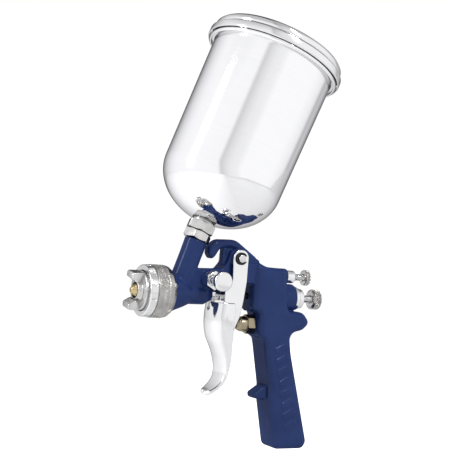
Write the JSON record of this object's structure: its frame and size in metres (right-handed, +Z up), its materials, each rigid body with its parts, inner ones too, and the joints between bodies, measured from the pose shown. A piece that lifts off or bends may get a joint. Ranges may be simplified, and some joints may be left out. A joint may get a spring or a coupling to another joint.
{
  "type": "gravity-feed spray gun",
  "caption": "Hand-held paint spray gun with a tilted polished cup on top, a hanging hook, a two-finger trigger, an air cap with horns and screw controls.",
  "frame": {"origin": "top of the inside of the hanging hook, where a rail bears, on the symmetry plane", "axes": "+Z up, the nozzle points to -X along the needle axis, the side valve is on -Y"},
  "size_m": [0.1454, 0.0958, 0.29],
  "materials": {
    "blue_enamel": "gloss blue enamel",
    "chrome": "bright chrome plate",
    "satin_nickel": "satin nickel plate, knurled",
    "polished_aluminium": "mirror polished",
    "brass": "machined",
    "stainless_steel": "machined",
    "black_plastic": "matt",
    "white_plastic": "matt"
  },
  "bodies": {
    "gun": {"gun_body": "blue_enamel", "air_inlet_bushing": "stainless_steel", "fluid_nozzle": "brass", "nozzle_seal": "white_plastic", "air_distributor": "black_plastic", "needle_packing": "black_plastic", "packing_nut": "chrome", "needle_spring": "stainless_steel", "fluid_bushing": "satin_nickel", "pattern_bushing": "satin_nickel", "side_bushing": "chrome", "air_valve_nut": "brass", "air_valve_packing": "black_plastic", "air_valve_seat": "brass", "air_valve_spring": "stainless_steel", "trigger_pin": "stainless_steel", "e_clip": "stainless_steel"},
    "needle": {"fluid_needle": "stainless_steel", "needle_collar": "brass"},
    "trigger": {"trigger": "chrome"},
    "air_valve": {"air_valve_stem": "stainless_steel"},
    "ring_carrier": {"cap_snap_ring": "stainless_steel"},
    "ring": {"retaining_ring": "satin_nickel"},
    "air_cap": {"air_cap": "chrome"},
    "fluid_screw": {"fluid_stem": "stainless_steel"},
    "fluid_knob": {"fluid_knob": "satin_nickel"},
    "pattern_screw": {"pattern_stem": "stainless_steel"},
    "pattern_knob": {"pattern_knob": "satin_nickel"},
    "side_screw": {"side_stem": "stainless_steel"},
    "side_knob": {"side_knob": "chrome"},
    "cup": {"cup_body": "polished_aluminium", "cup_outlet": "chrome", "cup_strainer": "white_plastic", "lid_gasket": "black_plastic"},
    "union": {"union_nut": "chrome"},
    "lid": {"cup_lid": "polished_aluminium", "vent_plug": "black_plastic"}
  },
  "joints": [
    {"name": "trigger_pull", "type": "hinge", "parent": "gun", "child": "trigger", "pos_m": [0.01435, 0, -0.0058], "axis": [0, -1, 0], "range_deg": [0, 10], "stiffness_Nm_per_rad": 3, "springref_deg": -8.59},
    {"name": "needle_slide", "type": "slide", "parent": "gun", "child": "needle", "axis": [1, 0, 0], "range_m": [0, 0.0046], "deforming": ["needle_spring"]},
    {"name": "air_valve_slide", "type": "slide", "parent": "gun", "child": "air_valve", "axis": [1, 0, 0], "range_m": [0, 0.008], "deforming": ["air_valve_spring"]},
    {"name": "ring_travel", "type": "slide", "parent": "gun", "child": "ring_carrier", "axis": [-1, 0, 0], "range_m": [0, 0.006]},
    {"name": "ring_turn", "type": "hinge", "parent": "ring_carrier", "child": "ring", "pos_m": [-0.04065, 0, -0.0308], "axis": [-1, 0, 0], "range_deg": [0, 1441]},
    {"name": "cap_turn", "type": "hinge", "parent": "ring_carrier", "child": "air_cap", "pos_m": [-0.05065, 0, -0.0308], "axis": [-1, 0, 0], "range_deg": [-90, 90]},
    {"name": "fluid_travel", "type": "slide", "parent": "gun", "child": "fluid_screw", "axis": [1, 0, 0], "range_m": [0, 0.004]},
    {"name": "fluid_turn", "type": "hinge", "parent": "fluid_screw", "child": "fluid_knob", "pos_m": [0.07935, 0, -0.0308], "axis": [1, 0, 0], "range_deg": [0, 1441]},
    {"name": "pattern_travel", "type": "slide", "parent": "gun", "child": "pattern_screw", "axis": [1, 0, 0], "range_m": [0, 0.003]},
    {"name": "pattern_turn", "type": "hinge", "parent": "pattern_screw", "child": "pattern_knob", "pos_m": [0.07135, 0, -0.016], "axis": [1, 0, 0], "range_deg": [0, 1081]},
    {"name": "side_travel", "type": "slide", "parent": "gun", "child": "side_screw", "axis": [0, -1, 0], "range_m": [0, 0.003]},
    {"name": "side_turn", "type": "hinge", "parent": "side_screw", "child": "side_knob", "pos_m": [-0.00665, -0.026, -0.0212], "axis": [0, -1, 0], "range_deg": [0, 1081]},
    {"name": "cup_lift", "type": "slide", "parent": "gun", "child": "cup", "axis": [0.3633, 0, 0.9317], "range_m": [0, 0.012]},
    {"name": "union_turn", "type": "hinge", "parent": "cup", "child": "union", "pos_m": [-0.01452, 0, 0.00647], "axis": [0.3633, 0, 0.9317], "range_deg": [0, 2881]},
    {"name": "lid_lift", "type": "slide", "parent": "cup", "child": "lid", "axis": [0.3633, 0, 0.9317], "range_m": [0, 0.03]}
  ],
  "couplings": [
    {"joint": "needle_slide", "follows": "trigger_pull", "m_per_rad": 0.025},
    {"joint": "air_valve_slide", "follows": "trigger_pull", "m_per_rad": 0.044},
    {"joint": "ring_turn", "follows": "ring_travel", "rad_per_m": 4188.8},
    {"joint": "fluid_turn", "follows": "fluid_travel", "rad_per_m": 6283.2},
    {"joint": "pattern_turn", "follows": "pattern_travel", "rad_per_m": 6283.2},
    {"joint": "side_turn", "follows": "side_travel", "rad_per_m": 6283.2},
    {"joint": "union_turn", "follows": "cup_lift", "rad_per_m": 4188.8}
  ]
}
